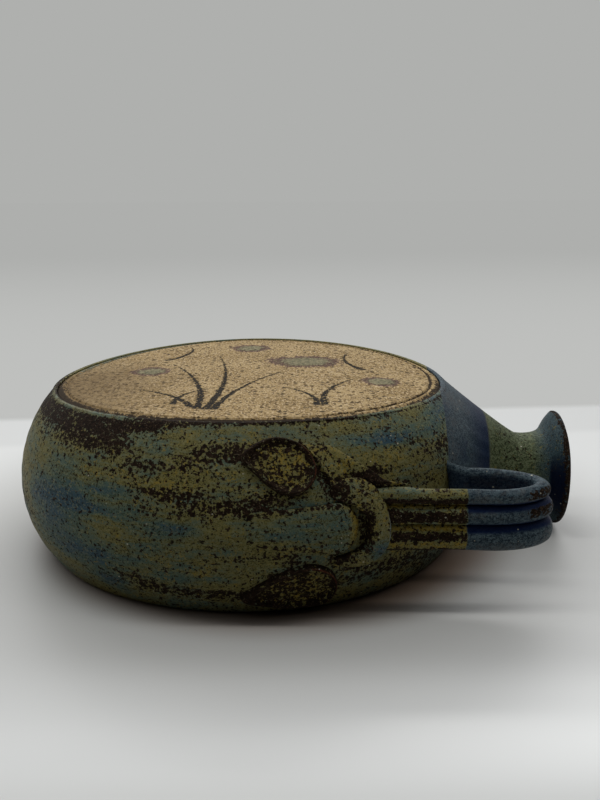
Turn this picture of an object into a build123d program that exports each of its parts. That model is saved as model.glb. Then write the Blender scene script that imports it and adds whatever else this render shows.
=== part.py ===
from build123d import *

import os
from math import asin, cos, sin, sqrt

# A stoneware pilgrim flask, lying on its back face. Millimetres.
# The origin is the centre of the resting back face, +Z points out of the front face and +X out of the mouth.
# Two thrown bowls are luted rim to rim at the belly, a round slab closes each face, a thrown neck stands over a
# hole in the edge, and one ribbed strap handle springs from a modelled root on the near side (-Y).

os.makedirs("parts", exist_ok=True)

# Body
body_radius = 95.2
thickness = 66.0
seam_height = 30.0
front_bulge = 15.2  # how far the belly stands out past the front rim
back_bulge = 10.2
wall = 6.0
panel_thickness = 7.0
front_rim_width = 1.65  # of the bowl's clay between the skin and the slab
back_rim_width = 2.4
rim_round = 0.8
margin_width = 3.2
margin_drop = 1.0

# Neck: the root is oval and as tall as the body, the waist and all beyond it are round
neck_height = 24.3
cone_inset = 21.2  # the cone starts this far inside the belly
cone_half_width = 44.0
cone_top_margin = 2.0  # the cone's start stays this far below the front face
cone_back_margin = 3.6
cone_width_shares = (1, 0.8, 0.6, 0.4, 0.22, 0.08, 0, 0)
cone_height_shares = (1, 0.91, 0.78, 0.58, 0.36, 0.13, 0, 0)
cone_rise_shares = (1, 0.91, 0.7, 0.46, 0.23, 0.06, 0, 0)
waist_standoff = 16.8  # from the belly out to the waist
waist_radius = 14.8
flare_length = 17.7
lip_radius = 23.3
lip_thickness = 2.8
mouth_radius = 20.0
bore_radius = 9.75
bore_before_waist = 5.0
bore_past_waist = 9.0
neck_passage_radius = 15.0
flare_slope = 1.1
mouth_slope = 1.67

# Handle: a strap with its ribs outwards, bent in a U in a plane parallel to the faces
strap_width = 21.6
strap_thickness = 5.2
strap_height = 33.5
strap_inset = 10.4  # the strap's outer face lies this far inside the belly's radius
strap_gap = 17.0
strap_short_of_waist = 2.0
strap_end_inset = 33.2  # the far leg ends this far inside the belly, within the body
strap_round = 2.2
rib_depth = 1.5
rib_shares = (0.38, 0.33, 0.29)

# Ornament of the handle's root. A reach runs along the belly, from the middle of the near side to the neck
ornament_drop = 1.3  # its middle lies this far below the strap's
arch_reach = 51.2
arch_length = 22.0
arch_overlap = 0.6  # the arch's middle line lies this far inside the strap's edges
arch_corner = 6.0
arch_half_width = 3.6
arch_half_thickness = 2.6
arch_lift = 0.9  # of the middle line above the skin, at its tips
arch_over_strap = 0.15  # of the middle line outside the strap's face, at its bend
strap_cover = 13.2  # length of strap that the arch and its tongue cover
tongue_reach = 44.0
tongue_length = 27.0
tongue_gap = 2.3
tongue_proud = 1.0
tongue_round = 2.4
leaf_length = 27.0
leaf_radius = 6.8
leaf_tilt = 14.0
leaf_roll = 1.6
leaf_tip_share = 0.5
upper_leaf_reach = 28.3
upper_leaf_rise = 21.0
lower_leaf_reach = 35.5
lower_leaf_drop = 20.6
strip_reach = 46.0
strip_above_arch = 3.4
strip_length = 21.0
strip_foot_width = 12.0
strip_tip_width = 9.0
strip_tilt = 128.0
strip_proud = 1.1
strip_round = 0.9
end_share = 1.04

# What follows from them
front_height = thickness - seam_height
waist_reach = body_radius + waist_standoff
lip_reach = waist_reach + flare_length
cone_reach = body_radius - cone_inset
cone_half_height = (thickness - cone_top_margin - cone_back_margin) / 2
cone_rise = cone_back_margin + cone_half_height - neck_height
bore_start = waist_reach - bore_before_waist
bore_end = waist_reach + bore_past_waist
ornament_height = strap_height - ornament_drop
arch_half_height = strap_width / 2 - arch_overlap
tongue_half_height = arch_half_height - tongue_gap


def arc_radius(height, bulge):
    """Radius of the arc that stands upright at the belly and comes in by `bulge` over `height`."""
    return (height**2 + bulge**2) / (2 * bulge)


front_arc = arc_radius(front_height, front_bulge)
back_arc = arc_radius(seam_height, back_bulge)


def arc_from(widest, arc, height):
    """Distance from the flask's axis of an arc that is `widest` at the belly, `height` above or below it."""
    return widest - arc + sqrt(arc**2 - height**2)


def skin_arc(z):
    return front_arc if z > seam_height else back_arc


def skin_radius(z):
    """Outer radius of the body at height z above the resting face."""
    return arc_from(body_radius, skin_arc(z), z - seam_height)


def half_bowl(bulge, height, rim_width):
    """One thrown half of the body, above the seam plane: an outer and an inner arc, joined by seam and rim."""
    rim = body_radius - bulge
    opening, seat, inside = rim - rim_width, height - panel_thickness, body_radius - wall
    outer_middle = arc_from(body_radius, arc_radius(height, bulge), height / 2)
    inner_middle = arc_from(inside, arc_radius(seat, inside - opening), seat / 2)
    outer = ThreePointArc((body_radius, 0), (outer_middle, height / 2), (rim, height))
    inner = ThreePointArc((opening, seat), (inner_middle, seat / 2), (inside, 0))
    steps = [
        Line((rim, height), (opening, height)),
        Line((opening, height), (opening, seat)),
        Line((inside, 0), (body_radius, 0)),
    ]
    section = Plane.XZ * make_face(Wire([outer, steps[0], steps[1], inner, steps[2]]))
    bowl = revolve(section, Axis.Z)
    rim_edges = bowl.edges().filter_by(GeomType.CIRCLE).group_by(Axis.Z)[-1]
    return fillet(rim_edges, min(rim_round, rim_width / 3))


def body_mass():
    """The body as if it were solid, which is cut from all that is luted on to it."""
    front_rim = (body_radius - front_bulge, front_height)
    back_rim = (body_radius - back_bulge, -seam_height)
    front_middle = (arc_from(body_radius, front_arc, front_height / 2), front_height / 2)
    back_middle = (arc_from(body_radius, back_arc, seam_height / 2), -seam_height / 2)
    front = ThreePointArc((body_radius, 0), front_middle, front_rim)
    back = ThreePointArc(back_rim, back_middle, (body_radius, 0))
    steps = [
        Line(front_rim, (0, front_height)),
        Line((0, front_height), (0, -seam_height)),
        Line((0, -seam_height), back_rim),
    ]
    section = Plane.XZ * make_face(Wire([front, *steps, back]))
    return Pos(Z=seam_height) * revolve(section, Axis.Z)


def along_neck(reach):
    """Plane square to the neck at distance `reach` from the flask's axis: its x is across (+Y), its y is up."""
    return Plane(origin=(reach, 0, neck_height), x_dir=(0, 1, 0), z_dir=(1, 0, 0))


def neck_hole():
    """Hole through the edge of both bowls under the neck."""
    start = body_radius - 3 * wall
    return along_neck(start) * extrude(Circle(neck_passage_radius), lip_reach - start)


def front_shell():
    bowl = Pos(Z=seam_height) * half_bowl(front_bulge, front_height, front_rim_width)
    return bowl - neck_hole()


def back_shell():
    bowl = Pos(Z=seam_height) * mirror(half_bowl(back_bulge, seam_height, back_rim_width), Plane.XY)
    return bowl - neck_hole()


def panel(radius):
    """Round slab with a bevelled margin on its outer face, which is up."""
    section = Polyline(
        (0, 0),
        (radius, 0),
        (radius, panel_thickness - margin_drop),
        (radius - margin_width, panel_thickness),
        (0, panel_thickness),
        close=True,
    )
    return revolve(Plane.XZ * make_face(section), Axis.Z)


def front_panel():
    slab = panel(body_radius - front_bulge - front_rim_width)
    return Pos(Z=thickness - panel_thickness) * slab


def back_panel():
    slab = panel(body_radius - back_bulge - back_rim_width)
    return Pos(Z=panel_thickness) * mirror(slab, Plane.XY)


def neck_cone():
    """Loft at even steps from the broad root, oval and as tall as the body, to the waist and one step beyond."""
    sections = []
    step = (waist_reach - cone_reach) / (len(cone_width_shares) - 2)
    shares = zip(cone_width_shares, cone_height_shares, cone_rise_shares)
    for index, (width, height, lift) in enumerate(shares):
        across = waist_radius + width * (cone_half_width - waist_radius)
        tall = waist_radius + height * (cone_half_height - waist_radius)
        plane = along_neck(cone_reach + index * step)
        sections.append((plane * Pos(Y=lift * cone_rise) * Ellipse(across, tall)).face())
    return loft(sections)


def neck_flare():
    """Waist to lip, turned about the neck's axis. The lip's edge is rounded."""
    edge_reach = lip_reach - lip_thickness
    edge_round = lip_thickness / 2
    flare = lip_radius - waist_radius
    span = edge_reach - waist_reach
    outer = Spline(
        (waist_reach, waist_radius),
        (waist_reach + 0.33 * span, waist_radius + 0.07 * flare),
        (waist_reach + 0.62 * span, waist_radius + 0.4 * flare),
        (edge_reach, lip_radius),
        tangents=[(1, 0), (1, flare_slope)],
    )
    lip = ThreePointArc(
        (edge_reach, lip_radius),
        (lip_reach - edge_round * 0.3, lip_radius - edge_round * 0.2),
        (lip_reach, lip_radius - edge_round),
    )
    steps = [
        Line((lip_reach, lip_radius - edge_round), (lip_reach, 0)),
        Line((lip_reach, 0), (waist_reach, 0)),
        Line((waist_reach, 0), (waist_reach, waist_radius)),
    ]
    section = make_face(Wire([outer, lip, *steps]))
    return Pos(Z=neck_height) * revolve(Plane.XZ * section, Axis.X)


def neck_inside():
    """The way through: a funnel from the body, the straight bore, and the mouth that opens to the lip."""
    funnel = loft(
        [
            (along_neck(cone_reach) * Circle(neck_passage_radius + wall)).face(),
            (along_neck(bore_start) * Circle(bore_radius)).face(),
        ],
        ruled=True,
    )
    bore = along_neck(bore_start) * extrude(Circle(bore_radius), bore_end - bore_start)
    wall_line = Spline((bore_end, bore_radius), (lip_reach, mouth_radius), tangents=[(1, 0), (1, mouth_slope)])
    steps = [
        Line((lip_reach, mouth_radius), (lip_reach, 0)),
        Line((lip_reach, 0), (bore_end, 0)),
        Line((bore_end, 0), (bore_end, bore_radius)),
    ]
    mouth = Pos(Z=neck_height) * revolve(Plane.XZ * make_face(Wire([wall_line, *steps])), Axis.X)
    return funnel + bore + mouth


def neck(body):
    return neck_cone() + neck_flare() - neck_inside() - body


def strap_section():
    """Across the strap: flat towards the loop, three round ribs outwards. Its x is up, its y is outwards."""
    low, crest = -strap_thickness / 2, strap_thickness / 2
    groove = crest - rib_depth
    lines, start = [], -strap_width / 2
    for share in rib_shares:
        end = start + share * strap_width
        lines.append(ThreePointArc((start, groove), ((start + end) / 2, crest), (end, groove)))
        start = end
    lines.append(Line((start, groove), (start, low)))
    lines.append(Line((start, low), (-strap_width / 2, low)))
    lines.append(Line((-strap_width / 2, low), (-strap_width / 2, groove)))
    section = make_face(Wire(lines))
    corners = section.vertices().group_by(Axis.Y)[0]
    return fillet(corners, min(strap_round, strap_thickness * 0.45))


def handle(body):
    """The strap runs out along +X, turns back in a half circle and ends on the body's shoulder."""
    bend = (strap_gap + strap_thickness) / 2
    near = -(body_radius - strap_inset - strap_thickness / 2)
    turn = waist_reach - strap_short_of_waist - strap_thickness / 2 - bend
    far = near + 2 * bend
    root = arch_reach - strap_cover
    end = body_radius - strap_end_inset
    path = Wire(
        [
            Line((root, near, strap_height), (turn, near, strap_height)),
            ThreePointArc(
                (turn, near, strap_height), (turn + bend, near + bend, strap_height), (turn, far, strap_height)
            ),
            Line((turn, far, strap_height), (end, far, strap_height)),
        ]
    )
    start = Plane(origin=(root, near, strap_height), x_dir=(0, 0, 1), z_dir=(1, 0, 0))
    strap = sweep(start * strap_section(), path=path)
    return strap - body


def on_skin(reach, height):
    """Point on the skin: `reach` along the belly from the middle of the near side, `height` above the table."""
    turn = reach / body_radius
    radius = skin_radius(height)
    return Vector(radius * sin(turn), -radius * cos(turn), height)


def leaning(origin, turn, slope):
    """Plane turned about Z by `turn` from facing -Y and leaning back by `slope`: its x is level, its z outwards."""
    outwards = Vector(sin(turn) * cos(slope), -cos(turn) * cos(slope), sin(slope))
    return Plane(origin=origin, x_dir=(cos(turn), sin(turn), 0), z_dir=outwards)


def patch(reach, height):
    """Plane that touches the skin there: its x runs along the belly to the neck, its y up, its z outwards."""
    slope = asin((height - seam_height) / skin_arc(height))
    return leaning(on_skin(reach, height), reach / body_radius, slope)


def arch_plane():
    """Plane of the arch's middle line: above the skin at the tips, on the strap's outer face at the bend."""
    foot = patch(arch_reach - arch_length, ornament_height)
    start = foot.origin + foot.z_dir * arch_lift
    strap_face = -(body_radius - strap_inset)
    turn = asin((strap_face - arch_over_strap - start.Y) / arch_length)
    return leaning(start, turn, asin(foot.z_dir.Z))


def round_end():
    """Half turn of the arch's section about its upright axis, which closes an end of the roll. It faces -X."""
    flat = arch_half_width - arch_half_thickness
    low, top = (flat, -arch_half_thickness), (flat, arch_half_thickness)
    side = ThreePointArc(low, (arch_half_width, 0), top)
    steps = [
        Line((0, -arch_half_thickness), low),
        Line(top, (0, arch_half_thickness)),
        Line((0, arch_half_thickness), (0, -arch_half_thickness)),
    ]
    half = make_face(Wire([steps[0], side, steps[1], steps[2]]))
    return revolve(Plane.YZ * half, Axis.Z, revolution_arc=180)


def handle_arch(body, strap):
    """Flattened roll, bent in a horseshoe over the strap's root: out above it, round its end and back below."""
    path = FilletPolyline(
        (-arch_length, arch_half_height),
        (0, arch_half_height),
        (0, -arch_half_height),
        (-arch_length, -arch_half_height),
        radius=arch_corner,
    )
    section = SlotOverall(2 * arch_half_width, 2 * arch_half_thickness)
    roll = sweep(Plane(origin=path @ 0, x_dir=(0, 1, 0), z_dir=path % 0) * section, path=path)
    for at in (0, 1):
        roll += Pos(path @ at) * round_end()
    return arch_plane() * Pos(X=arch_length) * roll - body - strap


def root_tongue(body, arch):
    """Smooth tongue inside the arch: its top touches the skin at the far end and stands out at the round end."""
    slot = SlotOverall(tongue_length, 2 * tongue_half_height)
    depth = 2 * tongue_round + tongue_proud
    slab = extrude(slot, -depth)
    top = slab.edges().group_by(Axis.Z)[-1]
    slab = Pos(X=tongue_length / 2, Z=tongue_proud) * fillet(top, tongue_round)
    plane = patch(tongue_reach - tongue_length, ornament_height)
    return plane * slab - body - arch


def leaf(body, reach, height, side):
    """Leaf-shaped loop: a roll bent round the blunt end, with two limbs pressed on that thin out to the tip.

    `side` is 1 above the handle and -1 below it.
    """
    centre_to_tip = leaf_length - leaf_radius
    opening = asin(leaf_radius / centre_to_tip)
    touch = (-leaf_radius * sin(opening), leaf_radius * cos(opening))
    bend = ThreePointArc(touch, (leaf_radius, 0), (touch[0], -touch[1]))
    loop = sweep(Plane(origin=bend @ 0, z_dir=bend % 0) * Circle(leaf_roll), path=bend)
    for way in (1, -1):
        near = Vector(touch[0], way * touch[1])
        far = Vector(-centre_to_tip, way * leaf_roll * leaf_tip_share)
        direction = (far - near).normalized()
        thick = (Plane(origin=near, z_dir=direction) * Circle(leaf_roll)).face()
        thin = (Plane(origin=far, z_dir=direction) * Circle(leaf_roll * leaf_tip_share)).face()
        loop += Pos(near) * Sphere(leaf_roll * end_share)
        loop += loft([thick, thin], ruled=True)
    plane = patch(reach - leaf_length / 2, height)
    turned = Pos(X=leaf_length / 2 - leaf_radius) * Rot(Z=-side * leaf_tilt)
    return plane * (turned * loop) - body


def upper_strip(body, strap, arch, loop):
    """Strip of clay smeared from the arch's corner up the shoulder, beside the upper leaf."""
    foot, tip = strip_foot_width / 2, strip_tip_width / 2
    outline = Polyline((0, -foot), (strip_length, -tip), (strip_length, tip), (0, foot), close=True)
    face = make_face(outline)
    face = fillet(face.vertices().group_by(Axis.X)[-1], tip * 0.8)
    slab = extrude(face, -strip_proud - 2 * strip_round)
    slab = Pos(Z=strip_proud) * fillet(slab.edges().group_by(Axis.Z)[-1], strip_round)
    plane = patch(strip_reach, ornament_height + arch_half_height + strip_above_arch)
    return plane * Rot(Z=strip_tilt) * slab - body - strap - arch - loop


def build():
    """Every piece of the flask by its name."""
    body = body_mass()
    strap = handle(body)
    arch = handle_arch(body, strap)
    upper_leaf = leaf(body, upper_leaf_reach, ornament_height + upper_leaf_rise, 1)
    return {
        "front_shell": front_shell(),
        "back_shell": back_shell(),
        "front_panel": front_panel(),
        "back_panel": back_panel(),
        "neck": neck(body),
        "handle": strap,
        "handle_arch": arch,
        "root_tongue": root_tongue(body, arch),
        "upper_leaf": upper_leaf,
        "lower_leaf": leaf(body, lower_leaf_reach, ornament_height - lower_leaf_drop, -1) - arch,
        "upper_strip": upper_strip(body, strap, arch, upper_leaf),
    }


for name, piece in build().items():
    export_step(piece, f"parts/{name}.step")
    print(name, round(piece.volume, 1), len(piece.solids()), piece.is_valid)
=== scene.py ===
# %% [markdown]
# # A stoneware pilgrim flask
#
# The flask lies on its back face, with its neck to the right. It was thrown as two bowls, luted rim to
# rim, and closed with a round slab on each face. A neck, a ribbed strap handle and modelled clay at the
# handle's root were added. All but the two slabs was dipped in an iron-rich blue glaze.
#
# The solid model is loaded first. It gives the main sizes, and the pieces made here stand in its place.

# %% Load the frame
import math

import bpy
import numpy as np
from mathutils import Matrix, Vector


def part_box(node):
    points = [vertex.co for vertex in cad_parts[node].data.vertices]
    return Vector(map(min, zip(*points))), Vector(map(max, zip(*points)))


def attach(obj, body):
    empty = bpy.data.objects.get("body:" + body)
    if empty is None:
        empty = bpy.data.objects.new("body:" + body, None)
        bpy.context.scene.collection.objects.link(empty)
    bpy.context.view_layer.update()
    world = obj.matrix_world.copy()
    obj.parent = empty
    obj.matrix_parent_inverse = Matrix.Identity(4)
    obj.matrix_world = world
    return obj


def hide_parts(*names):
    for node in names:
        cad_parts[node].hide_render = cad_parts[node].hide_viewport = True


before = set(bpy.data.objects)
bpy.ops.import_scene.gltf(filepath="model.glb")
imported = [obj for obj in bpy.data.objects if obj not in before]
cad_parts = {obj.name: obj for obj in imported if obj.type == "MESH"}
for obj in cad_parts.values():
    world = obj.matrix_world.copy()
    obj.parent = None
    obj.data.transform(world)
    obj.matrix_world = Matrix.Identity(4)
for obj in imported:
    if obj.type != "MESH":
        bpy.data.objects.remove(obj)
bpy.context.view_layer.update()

# %% [markdown]
# ## Sizes
#
# Shapes are worked out in millimetres and turned into metres when a mesh is made, because a potter
# thinks in millimetres and Blender in metres. The main sizes could be typed in again, but they are read
# from the solid model, so that both always agree. The rest are how far the belly bulges past each rim,
# the thickness of the wall, and the unevenness of handwork: the front rim sags a little at its left and
# right ends and is slightly narrower across.

# %% Main sizes
MM = 0.001


def node_box(name):
    """Lowest and highest corner of a node of the solid model, in millimetres."""
    low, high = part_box(name)
    return np.array(low) / MM, np.array(high) / MM


FRONT_LOW, FRONT_HIGH = node_box("front_shell")
BELLY = FRONT_HIGH[1]
SEAM, FACE = FRONT_LOW[2], FRONT_HIGH[2]
SLAB = node_box("front_panel")[1][0]
BACK_SLAB = node_box("back_panel")[1][0]
SLAB_THICK = node_box("back_panel")[1][2]
FRONT_BULGE, BACK_BULGE = 15.2, 10.2
WALL = 6
SAG, NARROW = 3, 2
print("belly radius", round(BELLY, 2), "seam", round(SEAM, 2), "face", round(FACE, 2))

# %% [markdown]
# ## Camera
#
# The picture was taken from in front of the flask and a little above it. The camera's place and lens
# were found by fitting the outline of the face, the belly and the lip. It could be turned by three
# angles one after the other, but its three axes, written as the columns of a matrix, are easier to
# check.

# %% Camera
CAMERA_PLACE = (30.59, -346.65, 142.38)
PITCH, YAW, ROLL = (math.radians(a) for a in (15.41, 1.66, -0.34))
FOCAL_PIXELS, CENTRE_DROP_PIXELS, LONG_SIDE_PIXELS = 850, 15.56, 800


def add_object(name, data):
    """New object with this data, linked into the scene."""
    thing = bpy.data.objects.new(name, data)
    bpy.context.scene.collection.objects.link(thing)
    return thing


def matrix_of(axes, place):
    """Matrix with the given right, up and backward axes, at a place in metres."""
    matrix = np.eye(4)
    matrix[:3, :3] = np.array(axes).T
    matrix[:3, 3] = place
    return Matrix(matrix.tolist())


def camera_axes():
    """Right, up and backward axes: a pitch and a yaw about Z, then a roll about the line of sight."""
    cos, sin = math.cos, math.sin
    ahead = np.array([-sin(YAW) * cos(PITCH), cos(YAW) * cos(PITCH), -sin(PITCH)])
    right = np.array([cos(YAW), sin(YAW), 0])
    up = np.cross(right, ahead)
    return cos(ROLL) * right + sin(ROLL) * up, cos(ROLL) * up - sin(ROLL) * right, -ahead


optics = bpy.data.cameras.new("camera")
optics.sensor_width = 36
optics.lens = optics.sensor_width * FOCAL_PIXELS / LONG_SIDE_PIXELS
optics.shift_y = CENTRE_DROP_PIXELS / LONG_SIDE_PIXELS
optics.clip_start = 0.01
camera = add_object("camera", optics)
camera.matrix_world = matrix_of(camera_axes(), np.array(CAMERA_PLACE) * MM)
bpy.context.scene.camera = camera
bpy.context.scene.view_settings.view_transform = "Standard"
print("lens, mm:", round(optics.lens, 2))

# %% [markdown]
# ## A small vocabulary for shader nodes
#
# A glaze is a few layers of noise, each pushed through a threshold. It could be wired in the shader
# editor, or node by node in code, but both are hard to read, so this class names the few nodes that are
# needed. Each method adds a node and returns its output. A plain number or another node's output may be
# given for any value, and three numbers from 0 to 255 for a colour.

# %% Nodes helper
def linear(red, green, blue):
    """Colour written as it looks on a screen, 0 to 255, as the linear colour that a shader wants."""
    shares = np.array([red, green, blue]) / 255
    low, high = shares / 12.92, ((shares + 0.055) / 1.055) ** 2.4
    return (*np.where(shares <= 0.04045, low, high).tolist(), 1)


class Nodes:
    """Adds nodes to a tree and links them."""
    def __init__(self, tree):
        self.tree = tree

    def put(self, socket, value):
        """Links a node's output to an input, or sets a plain value on it."""
        if isinstance(value, bpy.types.NodeSocket):
            self.tree.links.new(value, socket)
        else:
            socket.default_value = value

    def add(self, kind, output, values=(), **settings):
        """New node with these settings and input values. Returns one of its outputs."""
        node = self.tree.nodes.new("ShaderNode" + kind)
        for key, value in settings.items():
            setattr(node, key, value)
        for socket, value in dict(values).items():
            self.put(node.inputs[socket], value)
        return node.outputs[output]

    def math(self, operation, *values):
        """A Math node on one or two values."""
        return self.add("Math", 0, enumerate(values), operation=operation)

    def vector_math(self, operation, *values):
        return self.add("VectorMath", "Value", enumerate(values), operation=operation)

    def sum(self, *terms):
        """Sum of (factor, value) pairs and plain values."""
        total = 0
        for term in terms:
            factor, value = term if isinstance(term, tuple) else (1, term)
            total = self.math("MULTIPLY_ADD", value, factor, total)
        return total

    def times(self, *both):
        return self.math("MULTIPLY", *both)

    def larger(self, *both):
        return self.math("MAXIMUM", *both)

    def ramp(self, value, low, high, to_low=0, to_high=1, kind="LINEAR"):
        """Straight line from `to_low` at `low` to `to_high` at `high`, held beyond them."""
        given = enumerate((value, low, high, to_low, to_high))
        return self.add("MapRange", "Result", given, interpolation_type=kind)

    def step(self, *given):
        """Smooth step between the same values as a ramp."""
        return self.ramp(*given, kind="SMOOTHSTEP")

    def mix(self, share, first, second):
        """(1 - share) * first + share * second, for colours."""
        first, second = (linear(*c) if isinstance(c, tuple) else c for c in (first, second))
        return self.add("Mix", 2, {0: share, 6: first, 7: second}, data_type="RGBA")

    def layer(self, under, over, *given):
        """One colour over another where a smooth step rises."""
        return self.mix(self.step(*given), under, over)


print("white on screen is", linear(255, 255, 255)[:3])

# %% [markdown]
# ### Noise, specks and fields
#
# A finish of clay or glaze needs four sources: noise, specks, values worked out for each vertex, and
# the place itself. Noise and specks could read a UV map, but that would stretch round the belly. They
# read Object coordinates in millimetres, so a size in the code is a size on the pot.

# %% Shader helper
class Shader(Nodes):
    """A new material, with the sources of a finish."""
    def __init__(self, name):
        self.material = bpy.data.materials.new(name)
        self.material.use_nodes = True
        super().__init__(self.material.node_tree)
        self.surface = self.tree.nodes["Principled BSDF"]
        self.place = self.stretched(self.add("TexCoord", "Object"), (1 / MM, 1 / MM, 1 / MM))

    def stretched(self, vector, scale, move=(0, 0, 0)):
        """The vector times `scale`, plus `move`."""
        return self.add("Mapping", "Vector", {"Vector": vector, "Scale": scale, "Location": move})

    def noise(self, size, detail=2, rough=0.5, stretch=None, shift=0):
        """Noise from 0 to 1 whose lumps are about `size` millimetres wide."""
        vector = self.stretched(self.place, stretch) if stretch else self.place
        given = {"Vector": vector, "W": shift, "Scale": 1 / size, "Detail": detail, "Roughness": rough}
        return self.add("TexNoise", "Fac", given, noise_dimensions="4D")

    def dots(self, size, amount, shift=0, ragged=0.5, widest=0.72):
        """Round specks about `size` millimetres apart. They grow and merge as `amount` does."""
        place = self.stretched(self.place, (0.9, 0.9, 1.1), (shift, -shift, 2 * shift))
        distance = self.add("TexVoronoi", "Distance", {"Vector": place, "Scale": 1 / size})
        chance = self.add("SeparateColor", 0, {0: distance.node.outputs["Color"]})
        radius = self.ramp(self.sum(amount, (-0.8, chance)), 0, 0.5, -0.05, widest)
        rough = self.sum(distance, (ragged, self.noise(0.45 * size, 2, 0.6)), -0.5 * ragged)
        return self.step(self.sum(rough, (-1, radius)), -0.06, 0.06, 1, 0)

    def field(self, name):
        """A value that was worked out for each vertex."""
        return self.add("Attribute", "Fac", attribute_name=name)

    def axis(self, letter):
        """One coordinate of the place, in millimetres."""
        return self.add("SeparateXYZ", letter, {0: self.place})

    def relief(self, height, depth):
        """Bumps the surface, `depth` millimetres for a height of 1."""
        bump = self.add("Bump", "Normal", {"Height": height, "Distance": depth * MM})
        self.put(self.surface.inputs["Normal"], bump)

    def painted(self, colour, roughness, shine):
        """Sets the three on the surface and returns the material."""
        self.put(self.surface.inputs["Base Color"], colour)
        self.put(self.surface.inputs["Roughness"], roughness)
        self.put(self.surface.inputs["Specular IOR Level"], shine)
        return self.material


print("finishes can use:", [name for name in vars(Shader) if not name.startswith("_")])

# %% [markdown]
# ## The glaze
#
# The glaze is olive where it is thin and blue where it is thick, and flecks of mustard float in it.
# Iron from the clay breaks through it in brown-black specks, which crowd on edges and along the
# potter's marks.
#
# A painted picture could show this, but it blurs close up. Noise stays sharp, and only has to be told
# where each thing happens. That depends on the shape, so each piece carries five fields, worked out for
# every vertex: `iron`, `ochre`, a field for glaze that is thick and blue (which also holds painted shade
# on the front slab, in the neck's near hollow and under the handle's ribs), `bare` (rubbed red-brown)
# and `pale`. A field shifts the threshold of a noise, so a patch gets a crumbly edge, as on the real pot.
#
# The flask was dipped again neck first, so past a straight line the glaze is a plain slate blue.

# %% Glaze material
FIELDS = ("iron", "ochre", "pool", "bare", "pale")
SHOULDER_DIP, NECK_DIP = 75.8, 97.5
HANDLE_DIP, HANDLE_ASKEW = 65.4, 0.15
NO_DIP = 400
BODY_VEIL, HANDLE_VEIL = (0.9, 1.3), (0.35, 0.75)
GLAZE_RELIEF, GLAZE_SHINE = 0.24, 0.05


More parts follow.
